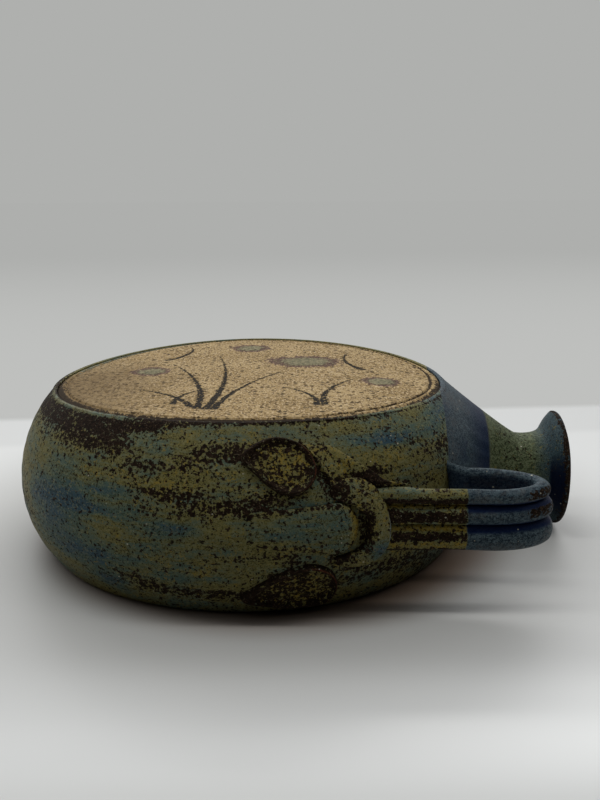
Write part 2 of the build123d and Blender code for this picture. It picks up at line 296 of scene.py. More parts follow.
def glaze(name, dip=SHOULDER_DIP, second_dip=NECK_DIP, veil=BODY_VEIL, askew=0):
    """`dip` and `second_dip` are where along X the straight edges of the later dips lie. Between them
    iron only shows where its field is above `veil`. `askew` slants the edges."""
    s = Shader(name)
    iron, ochre, pool, bare, pale = (s.field(f) for f in FIELDS)
    cloud = s.noise(15, stretch=(0.7, 0.7, 1.7))
    streak = s.noise(2, 3, 0.6, (0.22, 0.22, 1.4), 3)
    mottle = s.noise(1, 3, 0.8, (0.75, 0.75, 1.1), 7)
    fleck = s.noise(1.5, 3, 0.8, (0.85, 0.85, 1.15), 23)
    grain = s.noise(0.5, 2, 0.8, shift=19)
    blend = s.sum((0.28, cloud), (0.3, streak), (0.22, mottle), (0.2, grain))
    coarse = s.sum((0.6, mottle), (0.4, grain))

    # Thin glaze is olive, thicker glaze blue-green and the thickest blue. Mustard flecks float in it.
    thickness = s.sum(blend, (0.16, pool), (-0.06, ochre))
    body = s.layer((108, 102, 60), (74, 92, 82), thickness, 0.47, 0.56)
    body = s.layer(body, (48, 72, 84), s.sum(blend, (0.22, pool), (-0.08, ochre)), 0.57, 0.67)
    mustard = s.sum((0.5, fleck), (0.35, grain), (0.15, streak), (0.06, ochre), (-0.06, pool))
    body = s.layer(body, (134, 112, 42), mustard, 0.535, 0.59, 0, 0.85)
    body = s.layer(body, (124, 122, 84), s.sum((0.25, grain), (0.75, mottle)), 0.5, 0.64, 0, 0.8)
    pits = s.sum((0.5, grain), (0.3, mottle), (0.2, streak))
    body = s.layer(body, (30, 32, 16), pits, 0.4, 0.49, 0.9, 0)

    # The later dips: slate blue between the two edges, and past the second one thin and grey-green.
    along = s.axis("X")
    wander = s.sum(along, (0.6, s.noise(4, 1)), (askew, s.axis("Y")), -0.3)
    first = s.step(wander, dip - 0.3, dip + 0.3)
    twice = s.times(first, s.step(wander, second_dip - 1, second_dip + 1))
    band = s.sum(first, (-1, twice))
    slate = s.layer((22, 34, 44), (74, 88, 94), coarse, 0.42, 0.58)
    slate = s.layer(slate, (78, 78, 76), s.sum((0.5, cloud), (0.5, fleck)), 0.5, 0.6, 0, 0.5)
    near_edge = s.sum(along, (9, mottle))
    slate = s.layer(slate, (20, 32, 58), near_edge, second_dip - 9, second_dip + 3, 0, 0.8)
    slate = s.mix(s.ramp(pool, 0.1, 0.9, 0, 0.92), slate, (9, 24, 56))
    thin = s.layer((48, 56, 36), (100, 108, 80), coarse, 0.42, 0.58)
    bluer = s.layer((28, 44, 50), (66, 82, 86), grain, 0.38, 0.62)
    thin = s.layer(thin, bluer, s.sum(along, (10, cloud)), 121, 129)
    thin = s.layer(thin, (104, 96, 50), s.sum(fleck, (0.3, grain)), 0.74, 0.82)
    body = s.mix(twice, s.mix(band, body, slate), thin)
    # Painted shade: where the thick-glaze field passes 1.15, in the near hollow under the neck's flare, the
    # glaze turns near-black navy.
    body = s.mix(s.ramp(pool, 1.15, 1.45, 0, 0.97), body, (9, 16, 36))
    body = s.layer(body, (122, 132, 126), s.sum(pale, (0.6, grain)), 0.6, 1.2)

    # Iron breaks through in specks of two sizes and in crumbs, which merge where there is much of it.
    amount = s.sum(iron, (-1.2, s.times(band, s.step(iron, *veil, 1, 0))))
    amount = s.ramp(amount, -0.5, 1.3, -0.5, 1.3)
    spots = s.noise(1.15, 2, 0.6, shift=41)
    crumbs = s.sum((0.17, amount), (0.8, spots), (0.14, grain), (0.06, streak))
    scarce = s.times(amount, 0.72)
    specks = s.larger(s.dots(1.5, scarce), s.dots(0.85, scarce, 5, widest=0.6))
    specks = s.larger(specks, s.step(crumbs, 0.62, 0.644))
    brown = s.layer((18, 12, 6), (46, 32, 22), s.sum((0.5, mottle), (0.5, grain)), 0.44, 0.58)
    brown = s.layer(brown, (112, 106, 88), s.sum((0.6, grain), (0.4, mottle)), 0.575, 0.64, 0, 0.9)
    colour = s.mix(specks, body, brown)
    colour = s.layer(colour, (106, 56, 36), s.sum(bare, (0.45, mottle)), 0.55, 0.95)
    # Painted glints: tiny pale specks stand in for the sparkle of light on the glaze.
    colour = s.mix(s.dots(2.2, 0.13, 31, ragged=0.1), colour, (172, 168, 150))
    s.relief(s.sum((-0.3, specks), (0.5, grain), (0.5, mottle), (0.35, streak)), GLAZE_RELIEF)
    roughness = s.step(s.sum(specks, (-0.6, pool)), -0.4, 1, 0.42, 0.7)
    return s.painted(colour, roughness, GLAZE_SHINE)


MATERIALS = {
    "body_glaze": glaze("body_glaze"),
    "neck_glaze": glaze("neck_glaze"),
    "handle_glaze": glaze("handle_glaze", HANDLE_DIP, NO_DIP, HANDLE_VEIL, HANDLE_ASKEW),
    "ornament_glaze": glaze("ornament_glaze"),
}
print("glazes:", sorted(MATERIALS))

# %% [markdown]
# ## The grass on the face
#
# The face is brushed with tufts of grass and has a few small runs of glassy glaze. They could be thin
# meshes on the clay, but paint has hardly any thickness, so they are masks in the material. Each blade
# follows the circle through three points, and each run of glass is an ellipse. A noise crumbles their
# edges.

# %% Grass and glass
STEMS = [
    ((-14, -60), (-19, -22), (-36, 18)), ((-11, -61), (-9, -18), (-17, 34)),
    ((-8, -61), (-1, -28), (14, 2)), ((-16, -58), (-31, -36), (-53, -24)),
    ((31, -52), (33, -28), (46, -6)), ((28, -53), (24, -36), (12, -26)),
    ((-40, 26), (-32, 40), (-34, 58)), ((48, 8), (40, 26), (42, 44)),
]
POOLS = [(22, 22, 17, 13), (-4, 52, 11, 9), (54, -12, 8, 8), (-42, 4, 9, 9)]
STEM_WIDTH, TIP_WIDTH = 1.5, 0.15


def circle_through(a, *others):
    """Centre and radius of the circle through three points, all as far from the centre."""
    a, others = np.array(a, float), np.array(others, float)
    centre = np.linalg.solve(2 * (others - a), (others**2).sum(1) - (a**2).sum())
    return centre, float(np.hypot(*(centre - a)))


def stem_mask(s, flat, crumble):
    """Blades, where |distance to the centre - radius| is less than a width that shrinks to the tip."""
    up, mask = s.axis("Y"), 0
    for points in STEMS:
        centre, radius = circle_through(*points)
        away = s.vector_math("DISTANCE", flat, (*centre.tolist(), 0))
        off = s.math("ABSOLUTE", s.sum(away, -radius))
        low, high = float(points[0][1]), float(points[2][1])
        width = s.ramp(up, low, high, STEM_WIDTH, TIP_WIDTH)
        blade = s.step(s.sum(width, (-1, off), crumble), -0.15, 0.25)
        window = s.times(s.step(up, low - 1, low + 1), s.step(up, high - 1.5, high, 1, 0))
        mask = s.larger(mask, s.times(blade, window))
    return mask


def pool_share(s, flat, crumble):
    """1 in the middle of a run of glass, 0 at its edge: 1 - distance / half size."""
    share = 0
    for x, y, half_x, half_y in POOLS:
        plane = s.stretched(flat, (1 / half_x, 1 / half_y, 1))
        away = s.vector_math("DISTANCE", plane, (x / half_x, y / half_y, 0))
        share = s.larger(share, s.sum((-1, away), 1, crumble))
    return share


print("blades:", len(STEMS), "runs of glass:", len(POOLS))

# %% [markdown]
# ## The bare clay
#
# The slab of the front face is the raw body: sandy buff with dark grains of grog. One noise alone would
# look like fog, so a slow noise, a sand noise, a finer one and specks of two sizes lie over each other,
# and the bump follows them. The glaze that crept over the margin is the field `iron` again.

# %% Clay material
CLAY_RELIEF, CLAY_SHINE = 0.35, 0.1


def clay(name, shade=1, drawn=False):
    """Buff clay, `shade` times as light, with the grass and the glass where it is `drawn` on."""
    s = Shader(name)
    iron, shaded, crept = s.field("iron"), s.field("pool"), s.field("pale")
    tone = s.noise(22, 3, 0.6)
    sand = s.noise(1.6, 3, 0.85, (1, 0.7, 1), 5)
    fine = s.noise(0.9, 2, 0.8, (1, 0.7, 1), 9)
    grit = s.sum((0.6, sand), (0.4, fine))
    grog = s.larger(s.dots(1.9, 0.5, 13, widest=0.45), s.dots(1.1, 0.42, 3, widest=0.45))

    def buff(*colour):
        return tuple(shade * part for part in colour)

    colour = s.layer(buff(164, 141, 100), buff(142, 119, 79), tone, 0.38, 0.62)
    colour = s.layer(colour, buff(98, 78, 50), sand, 0.5, 0.58)
    colour = s.layer(colour, buff(190, 168, 132), fine, 0.52, 0.6)
    colour = s.mix(s.times(grog, 0.85), colour, buff(48, 36, 20))
    # Painted shade: where the slab's shade field is high, towards the near left of the face, the clay turns
    # darker.
    shadow = s.layer(buff(118, 98, 68), buff(80, 64, 42), sand, 0.44, 0.58)
    colour = s.mix(s.times(shaded, 0.8), colour, shadow)
    crust = s.layer((74, 78, 68), (122, 122, 104), fine, 0.42, 0.6)
    colour = s.layer(colour, crust, s.sum((0.3, crept), grit), 0.66, 0.72)
    colour = s.layer(colour, (50, 40, 28), s.sum((0.3, iron), grit), 0.62, 0.68)
    height, roughness = s.sum(grit, (-0.35, grog)), 0.9
    if drawn:
        flat = s.stretched(s.place, (1, 1, 0))
        stems = stem_mask(s, flat, s.sum((3, sand), (2, fine), -2.5))
        stems = s.times(stems, s.step(s.sum((0.5, fine), (0.5, sand)), 0.4, 0.47))
        colour = s.mix(stems, colour, s.layer((16, 15, 13), (46, 40, 32), sand, 0.42, 0.6))
        share = pool_share(s, flat, s.sum((1.3, sand), (1, tone), -1.15))
        glass = s.step(share, 0.22, 0.5)
        margin = s.layer((72, 52, 46), (118, 96, 82), fine, 0.42, 0.6)
        colour = s.layer(colour, margin, share, 0, 0.14)
        colour = s.mix(glass, colour, s.layer((88, 84, 56), (130, 120, 88), sand, 0.42, 0.6))
        height = s.sum(height, (-0.9, stems), (0.8, glass))
        roughness = s.step(glass, 0.3, 0.9, 0.9, 0.66)
    s.relief(height, CLAY_RELIEF)
    return s.painted(colour, roughness, CLAY_SHINE)


MATERIALS["face_clay"] = clay("face_clay", drawn=True)
MATERIALS["back_clay"] = clay("back_clay", 0.92)
print("materials:", len(MATERIALS))

# %% [markdown]
# ## From a table of points to a mesh
#
# Every piece is a table of points, one numpy array that a formula fills in one go: its rows follow each
# other, and its columns go once round. Modifiers could do part of this, but a table gives every vertex
# its place and its fields at once. Neighbours are joined into four-sided faces. Where the rows don't
# come back to the first one, each end is closed with a fan of triangles. If the signed volume is
# negative, the faces look inwards and are turned round.

# %% Mesh helper
CREASE = math.radians(40)


def faces_of(rows, columns, loop_rows):
    """Corner numbers of the faces. The columns always close."""
    row, column = np.indices((rows if loop_rows else rows - 1, columns))
    below, beside = (row + 1) % rows, (column + 1) % columns
    corners = ((row, column), (row, beside), (below, beside), (below, column))
    return np.stack([(r * columns + c).ravel() for r, c in corners], axis=1)


def fan(ring, middle):
    """A triangle from each edge of a ring to a middle point."""
    return np.stack([np.roll(ring, -1), ring, np.full(len(ring), middle)], axis=1)


def signed_volume(points, faces):
    """Volume by the divergence theorem: a sixth of the sum of the faces' triple products."""
    return np.linalg.det(points[faces]).sum() / 6


def closed_skin(table, loop_rows):
    """Points, four-sided faces and end triangles of one table, all facing outwards."""
    rows, columns = table.shape[:2]
    count = rows * columns
    points, quads = table.reshape(-1, 3), faces_of(rows, columns, loop_rows)
    triangles = np.zeros((0, 3), int)
    if not loop_rows:
        first, last = np.arange(columns), np.arange(count - columns, count)
        triangles = np.concatenate([fan(first, count), fan(last[::-1], count + 1)])
        points = np.concatenate([points, [points[first].mean(0), points[last].mean(0)]])
    halves = np.concatenate([quads[:, :3], quads[:, [0, 2, 3]], triangles])
    if signed_volume(points, halves) < 0:
        quads, triangles = quads[:, ::-1], triangles[:, ::-1]
    return points, quads, triangles


def make_piece(name, table, slot, replaces, loop_rows=False, fields=()):
    """Mesh of a table of points in millimetres, shape (rows, columns, 3), with a value per field."""
    points, quads, triangles = closed_skin(table, loop_rows)
    mesh = bpy.data.meshes.new(name)
    mesh.from_pydata((points * MM).tolist(), [], quads.tolist() + triangles.tolist())
    for key in FIELDS:
        given = np.broadcast_to(dict(fields).get(key, 0), table.shape[:2]).ravel()
        values = np.full(len(points), given.mean(), np.float32)
        values[:len(given)] = given
        mesh.attributes.new(key, "FLOAT", "POINT").data.foreach_set("value", values)
    mesh.polygons.foreach_set("use_smooth", np.ones(len(mesh.polygons), bool))
    mesh.set_sharp_from_angle(angle=CREASE)
    mesh.validate()
    mesh.materials.append(MATERIALS[slot])
    piece = add_object(name, mesh)
    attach(piece, "root")
    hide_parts(*replaces)
    print(f"{name}: {len(points)} points, {len(mesh.polygons)} faces")


# %% [markdown]
# ## Curves, steps and bells
#
# Rims, ridges and paths are drawn as a few stations. Straight lines between them would show as
# corners, so a natural cubic spline carries every quantity of a station smoothly to the next. Its
# second derivatives come from one linear system. Most other shapes are products of smooth steps and
# bell curves, which have no corners either.

# %% Curve helpers
def run_of(points):
    """Length along a line of points, at each point."""
    return np.concatenate([[0], np.cumsum(np.hypot(*np.diff(points, axis=0).T))])


def smooth_through(stations, count, closed=False):
    """`count` rows along a cubic spline, spaced by the length of its first two columns."""
    stations = np.asarray(stations, float)
    if closed:
        stations = np.concatenate([stations[-3:], stations, stations[:4]])
    knots = run_of(stations[:, :2])
    gap = np.diff(knots)
    system, right = np.eye(len(knots)), np.zeros_like(stations)
    inner = np.arange(1, len(knots) - 1)
    system[inner, inner - 1] = gap[:-1]
    system[inner, inner] = 2 * (gap[:-1] + gap[1:])
    system[inner, inner + 1] = gap[1:]
    right[inner] = 6 * np.diff(np.diff(stations, axis=0) / gap[:, None], axis=0)
    bend = np.linalg.solve(system, right)
    low, high = (knots[3], knots[-4]) if closed else (0, knots[-1])
    where = np.linspace(low, high, count, endpoint=not closed)
    at = np.clip(np.searchsorted(knots, where, side="right") - 1, 0, len(gap) - 1)
    h, a, b = (v[:, None] for v in (gap[at], knots[at + 1] - where, where - knots[at]))
    return sum((stations[k] / h - bend[k] * h / 6) * t + bend[k] * t**3 / (6 * h)
               for k, t in ((at, a), (at + 1, b)))


def ease(value, low, high):
    """Smooth step from 0 at `low` to 1 at `high`."""
    t = np.clip((value - low) / (high - low), 0, 1)
    return t * t * (3 - 2 * t)


def between(value, low, high, end, gone):
    """Rises from `low` to `high`, and falls from `end` to `gone`."""
    return ease(value, low, high) * (1 - ease(value, end, gone))


def bell(value, middle, half, power=2):
    """Bump of height 1: exp(-((value - middle) / half)^power)."""
    return np.exp(-(((value - middle) / half) ** power))


def once_round(count, start=-np.pi):
    """Angles of the columns of a table."""
    return np.linspace(start, start + 2 * np.pi, count, endpoint=False)[None, :]


def spun(turn, radius, z):
    """Points round the flask's axis: (radius sin turn, -radius cos turn, z)."""
    turn, radius, z = np.broadcast_arrays(turn, radius, z)
    return np.stack([radius * np.sin(turn), -radius * np.cos(turn), z], axis=-1)


print("a bell at its half width:", bell(1, 0, 1).round(3))

# %% [markdown]
# ## The skin of the body
#
# The belly is two arcs, up to the front rim and down to the back rim, turned about the flask's axis. A
# turned profile would do for the belly alone, but the ornament lies on it, so the skin is a function of
# an angle round the belly and a height. Slow waves make it as uneven as a thrown and luted pot is,
# always inwards of the true arc.
#
# A place on it is also given as `reach`, in millimetres along the belly from the middle of the near
# side towards the neck, and the height above the table.

# %% Skin
FRONT_ARC = ((FACE - SEAM) ** 2 + FRONT_BULGE**2) / (2 * FRONT_BULGE)
BACK_ARC = (SEAM**2 + BACK_BULGE**2) / (2 * BACK_BULGE)
SLUMP, SLUMP_TURN = 3.2, -1.45


def unevenness(turn, height):
    """Inward waves of the wall: broad dents from sines, and faint rings left by the fingers."""
    dents = np.sin(3 * turn + 0.7) * np.sin(height / 13) + np.sin(5 * turn - 1.2 + height / 19) - 2
    rings = np.sin(2 * np.pi * height / 6.3 + np.sin(2 * turn)) - 1
    return 0.16 * dents + 0.05 * rings - 0.5 * bell(turn, -1.5, 0.5)


def sagging(turn, radius, z, share):
    """Points round the axis, with a share of the front rim's sag and narrowness."""
    return spun(turn, radius - NARROW * np.cos(turn) ** 2 * share**2, z - SAG * np.sin(turn) ** 2 * share**2)


def skin(turn, height, lift=0):
    """Point on the skin, `lift` outside it: radius and z on an arc about a ring of centres."""
    slump = SLUMP * bell(turn, SLUMP_TURN, 0.8) * np.sin(np.pi * np.clip(height / FACE, 0, 1))
    rise = height - SEAM
    arc = np.where(rise + slump > 0, FRONT_ARC, BACK_ARC)
    out = np.sqrt(np.maximum(arc**2 - (rise + slump) ** 2, 0))
    radius = BELLY - arc + out * (arc + lift) / arc + unevenness(turn, height)
    return sagging(turn, radius, SEAM + rise * (arc + lift) / arc, np.maximum(rise / (FACE - SEAM), 0))


def on_skin(reach, height, lift=0):
    """Point on the skin at the angle reach / belly radius."""
    return skin(reach / BELLY, height, lift)


print("near side of the belly:", on_skin(0, SEAM).round(2))

# %% [markdown]
# ## Where the iron shows on the body
#
# The fields could be painted on the mesh by hand, but a change of shape would lose them. Here they are
# patches, soft ellipses with a place, two half sizes and a strength, fading as a bell curve. Those on
# the near side are placed after the real pot. Round the rest of the belly, which the picture
# doesn't show, a seeded generator scatters more. Below the front rim lies a dark band, broad at the
# left and thin towards the neck.

# %% Fields of the body
IRON_AND_POCKET_SHADE_PATCHES = [
    (-12, 46, 26, 7, 0.2), (6, 42, 18, 4, 0.25), (-44, 54, 14, 4, 0.2), (0, 8, 40, 5, 0.15),
    (-61, 57, 17, 2.5, 0.45), (-46, 58, 8, 2.5, 0.5), (-31, 52.5, 7, 1.5, 0.8), (-12, 56, 7.5, 1.5, 0.7),
    (-2, 57.5, 9.5, 2.5, 1), (-26, 45.5, 7.5, 1.5, 0.45), (-17, 44.5, 7, 2, 0.5), (-9, 41, 7.5, 2, 0.55),
    (5, 41.5, 9.5, 2, 0.7), (14, 43.5, 5.5, 2, 0.7), (-31, 39.5, 6.5, 1.5, 0.3), (-36, 14, 10, 2.5, 0.5),
    (-26, 11, 9.5, 2, 0.6), (-11, 9.5, 13, 1.5, 0.8), (11.5, 10, 12, 2, 0.8), (23.5, 13, 6, 2.5, 0.6),
    (10.5, 25, 8.5, 1.5, 0.5), (21, 22.5, 5, 2.5, 0.6), (15.5, 17.5, 6, 2, 0.5),
    (-17.5, 53, 8.5, 1.5, 0.4), (52.5, 49, 6, 1.5, 1), (59.5, 43, 6.5, 1, 1), (57.5, 61, 9, 1.5, 0.3),
    (72, 55.5, 7.5, 2, 0.3), (78.5, 41.5, 8.5, 1.5, 0.35), (59.5, 23.5, 3, 3.5, 0.9),
    (56, 13.5, 10, 2.5, 0.5), (70, 14.5, 14.5, 4, 0.45), (44.5, 17, 6, 1.5, 0.8), (40.5, 12, 6, 2.5, 0.5),
    # The patches at reach 34.5 and 35, strength 1.2 and 1.1, are painted shade in the deep pockets between
    # the arch and the leaves.
    (81.5, 8, 16.5, 6, 0.4), (34.5, 46, 2, 3, 1.2), (35, 21.5, 2.5, 2.5, 1.1), (45.5, 34, 1.5, 8, 1),
    (34, 58, 4, 2.5, 0.5), (31, 52, 2.5, 4, 0.5), (19, 45, 7, 2, 0.4),
]
POOL_PATCHES = [
    (-71, 34, 18, 12, 0.8), (-57, 37, 18, 2, 0.7), (-42, 43.5, 12, 2, 0.45), (-16.5, 34, 12, 3, 0.7),
    (15.5, 37, 14, 4, 0.5), (25, 38.5, 6, 3.5, 0.7), (-57, 19.5, 17.5, 4, 0.6),
    (-34.5, 20.5, 14.5, 2.5, 0.4), (-9, 16.5, 12, 1.5, 0.45), (-48.5, 9.5, 10, 3.5, 0.6),
    (75.5, 58, 20, 3, 0.5), (104.5, 62.5, 11, 3.5, 0.5), (54, 21, 4.5, 4, 0.4), (43, 60, 14, 2.5, 0.5),
    (60, 58, 10, 2.5, 0.5),
]
OCHRE_PATCHES = [
    (-19, 48, 10, 3, 0.8), (-3, 34, 5.5, 1.5, 0.6), (-10, 17.5, 6, 2, 0.8), (-25.5, 22, 6.5, 2, 0.5),
    (11, 46.5, 7.5, 1.5, 0.5), (-54, 49, 11, 1.5, 0.5), (58, 53.5, 11, 3.5, 0.6), (85, 59, 9, 1.5, 0.6),
    (39.5, 20.5, 5.5, 2, 0.6), (62, 21, 5, 2, 0.6),
]


def patch_sum(patches, reach, height):
    """Sum of strength * exp(-(dx / a)^2 - (dz / b)^2)."""
    total = np.zeros(np.broadcast(reach, height).shape)
    for at, up, half_length, half_height, strength in patches:
        total += strength * bell(reach, at, half_length) * bell(height, up, half_height)
    return total


def scattered(seed, count, strength):
    """Patches for the part of the belly that the picture doesn't show."""
    draw = np.random.default_rng(seed)
    once = 2 * np.pi * BELLY
    around = (draw.uniform(95, once - 100, count) + once / 2) % once - once / 2
    ranges = ((6, FACE - 8), (8, 26), (1.6, 4.5), (0.5 * strength, strength))
    return np.stack([around, *(draw.uniform(*limits, count) for limits in ranges)], axis=1).tolist()


PATCHES = {
    "iron": IRON_AND_POCKET_SHADE_PATCHES + scattered(3, 34, 0.6),
    "pool": POOL_PATCHES + scattered(5, 22, 0.6),
    "ochre": OCHRE_PATCHES + scattered(8, 18, 0.9),
}


def rim_band(turn, height):
    """Dark band under the front rim, some 7 mm broad at the left and under 1 mm at the near side."""
    reach = turn * BELLY
    breadth = 0.6 + 6.4 * ease(-reach, 5, 75) + 1.2 * np.sin(3 * turn + 1) ** 2 * ease(reach, 90, 140)
    edge = FACE - breadth - 4.4 * ease(reach, 160, 260)
    return (ease(height, 2.2 * edge - 1.2 * FACE - 0.6, edge) + ease(height, edge - 0.8, edge + 0.6)) / 2


def body_fields(turn, height):
    """A base of iron, the patches and the band under the rim, added up."""
    fields = {key: patch_sum(patches, turn * BELLY, height) for key, patches in PATCHES.items()}
    fields["iron"] = 0.27 + np.minimum(fields["iron"], 0.55) + 0.84 * rim_band(turn, height)
    return fields


print("patches:", {key: len(patches) for key, patches in PATCHES.items()})

# %% [markdown]
# ## The body
#
# The two bowls show as one skin. Two meshes would need a seam, which the glaze hides on the real pot,
# so one closed surface stands for both. Its section is a loop: up the outside from the back rim to the
# front rim, over the glaze bead, down the seat of the front slab, down the inside of the wall and out
# past the back slab. The loop is carried round the axis.

# %% Body
RIM_RADIUS, BACK_RIM_RADIUS = BELLY - FRONT_BULGE, BELLY - BACK_BULGE
BODY_COLUMNS, BEAD_ROWS, SEAT_ROWS = 560, 7, 6
BURNT = 1.2


def squeezed(turn, radius, z):
    """Points beside the front rim, which sag with it and are as much narrower across."""
    return sagging(turn, radius, z, np.clip((z - SEAM) / (FACE - SEAM), 0, 1) * radius / RIM_RADIUS)


def body_table():
    """Rings round the axis along the section's loop: the skin, half an ellipse for the bead, the seat,
    arcs a wall's thickness inside the skin's, and the foot."""
    turn = once_round(BODY_COLUMNS)
    back = SEAM - SEAM * np.cos(np.linspace(0, np.pi / 2, 46))[:-1, None] + 0.5
    front = SEAM + (FACE - 0.7 - SEAM) * np.linspace(0, 1, 56)[1:, None]
    height = np.concatenate([back, front])
    angle = np.linspace(0, np.pi, BEAD_ROWS + 2)[1:-1, None]
    middle, half = (RIM_RADIUS + SLAB) / 2 + 0.1, (RIM_RADIUS - SLAB) / 2 + 0.15
    seat_z = np.linspace(FACE - 1.2, FACE - SLAB_THICK, SEAT_ROWS)[:, None]
    inner_z = np.linspace(FACE - SLAB_THICK - 1, SLAB_THICK + 1, 30)[:, None]
    arc = np.where(inner_z > SEAM, FRONT_ARC, BACK_ARC) - WALL
    inner_radius = BELLY - WALL - arc + np.sqrt(np.maximum(arc**2 - (inner_z - SEAM) ** 2, 0))
    table = np.concatenate([skin(turn, height)] + [squeezed(turn, radius, z) for radius, z in (
        (middle + half * np.cos(angle), FACE - 0.75 + 0.65 * np.sin(angle)), (SLAB + 0.02, seat_z),
        (inner_radius, inner_z), (BACK_SLAB, SLAB_THICK), (BACK_SLAB, 0.5), (BACK_SLAB + 0.5, 0),
        (BACK_RIM_RADIUS - 1.2, 0),
    )])

    rows = len(height)
    fields = body_fields(turn, table[..., 2])
    for key, values in body_fields(turn, height).items():
        fields[key][:rows] = values
    fields["iron"][rows + 4:] = BURNT
    fields["iron"][rows + 4: rows + 10] -= 1.1 * ease(np.abs(turn), 1.3, 1.9)
    reach = turn * BELLY
    shown = ease(-reach, 25, 60) * ease(reach, -150, -90) + ease(np.abs(reach), 150, 190)
    fields["pale"] = np.zeros(table.shape[:2])
    fields["pale"][rows - 1: rows + 4] = 0.12 + 0.3 * shown
    fields["iron"][rows - 1: rows + 4] *= 1 - 0.75 * shown
    return table, fields


table, fields = body_table()
make_piece("glazed_body", table, "body_glaze", ("front_shell", "back_shell"), True, fields)

# %% [markdown]
# ## The two slabs
#
# Each face is closed by a slab rolled from the same clay. The front one sags with the rim, and its
# margin was trimmed with a tool, which left a bevel and a fine groove. A plain disc has too few
# vertices for these, so each slab is a polar grid with rows close together at the margin.

# %% Slabs
GROOVE_RADIUS, GROOVE_DEPTH, BEVEL_DROP = 74.6, 0.9, 0.85


def polar_rows(radius, inner, outer):
    """Distances from the middle out to `radius`: `inner` and `outer` are (from, to, count) in shares."""
    return np.concatenate([np.linspace(*inner), np.linspace(*outer)])[:, None] * radius


def slab_table(radius):
    """From the middle out over the top, down the edge, and in below to the middle."""
    turn = once_round(420)
    out = polar_rows(radius, (0.02, 0.9, 60), (0.905, 1, 44))
    beaten = 0.1 * (np.sin(out / 9 + 2 * turn) * np.cos(out / 14 - turn) - 1) * ease(radius - out, 0, 12)
    groove = GROOVE_RADIUS + 0.35 * np.sin(4 * turn + 0.4) + 0.2 * np.sin(7 * turn)
    bevel = BEVEL_DROP * ease(out, GROOVE_RADIUS, radius) ** 1.3 + 0.5 * ease(out, radius - 0.5, radius)
    top = FACE - 0.12 + beaten - GROOVE_DEPTH * bell(out, groove, 0.6) - bevel
    side = np.array([[FACE - 3], [FACE - SLAB_THICK + 0.05]])
    under = squeezed(turn, np.array([[0.6], [0.02]]) * radius, side[1])
    table = np.concatenate([squeezed(turn, out, top), squeezed(turn, radius, side), under])

    creep = 0.85 * ease(out, radius - 3.4, radius - 0.8) * (0.8 + 0.2 * np.sin(5 * turn + 1))
    creep = creep * (1 - 0.75 * ease(np.abs(turn), 1.3, 1.9)) * (1 - 0.5 * ease(-turn, 0.1, 0.6))
    near = 0.5 * ease(out, radius - 7, radius - 1) * between(turn, -1.8, -1.2, -0.1, 0.4)
    line = 0.8 * bell(out, groove, 0.8) * ease(turn, 0.2, 0.7)
    far_left = between(-turn, 1.5, 1.9, 2.6, 3) * ease(out, radius - 7, radius - 2)
    # Painted shade: `shaded` darkens the face towards its near left.
    rest, shaded = ((0, 4), (0, 0)), ease(-table[..., 0], 10, 70) * (1 - ease(table[..., 1], -10, 50))
    iron = np.pad(creep + line + near, rest, constant_values=1)
    return table, {"iron": iron, "pool": shaded, "pale": np.pad(far_left, rest)}


def back_slab_table(radius):
    """Rings at share * radius over the hollow underside, then back in over the top."""
    turn = once_round(240)
    out = polar_rows(radius, (0.02, 0.93, 40), (0.935, 1, 16))
    hollow = 0.25 * ease(radius - out, 8, 40) + 0.7 * ease(out, radius - 3, radius)
    upper = spun(turn, np.array([[1], [0.5], [0.02]]) * radius, SLAB_THICK - 0.05)
    return np.concatenate([spun(turn, out, hollow), upper])


table, fields = slab_table(SLAB - 0.15)
make_piece("front_face", table, "face_clay", ("front_panel",), fields=fields)
make_piece("back_face", back_slab_table(BACK_SLAB - 0.1), "back_clay", ("back_panel",))

# %% [markdown]
# ## The neck
#
# The neck was thrown apart and luted on, and its clay was smoothed out over the shoulder. Joining two
# meshes with a Boolean would leave a sharp line there. Instead, each line from the waist to the root is
# a Bezier curve that leaves the waist along the neck's axis and arrives on the skin in the skin's own
# direction, which makes the fillet. Past the waist a profile opens to the lip. The same closed table
# runs over the lip and back inside.

# %% Neck
NECK_HEIGHT, NECK_COLUMNS = 24.3, 220
WAIST_REACH, WAIST_RADIUS = BELLY + 16.8, 14.8
LIP_REACH = node_box("neck")[1][0]
LIP_RADIUS, MOUTH_RADIUS, BORE_RADIUS, LIP_EDGE = 23.6, 20.2, 9.75, 1.7
FLARE_PROFILE = [
    (0, 14.8), (3, 14.6), (6, 14.8), (8, 15.2), (9.8, 16), (11.6, 17.9), (13.4, 20.8), (15.8, 23.6),
]
BORE_PROFILE = [
    (LIP_REACH - 2.6, MOUTH_RADIUS - 0.3), (LIP_REACH - 5, 16.4), (LIP_REACH - 8, 11.6),
    (LIP_REACH - 10.5, BORE_RADIUS), (LIP_REACH - 20, BORE_RADIUS), (LIP_REACH - 25, 11.2), (BELLY - 8, 15),
]
ROOT_TOP, ROOT_LOW, ROOT_HALF_WIDTH = 63.6, 4.6, 46


def root_ring(angle, grow=0, lift=0):
    """Oval on the skin round the neck's root. `grow` moves it outwards along the skin."""
    middle, half = (ROOT_TOP + ROOT_LOW) / 2, (ROOT_TOP - ROOT_LOW) / 2
    turn = np.pi / 2 + (ROOT_HALF_WIDTH + grow) * np.sin(angle) / BELLY
    return skin(turn, middle + (half + grow) * np.cos(angle), lift)


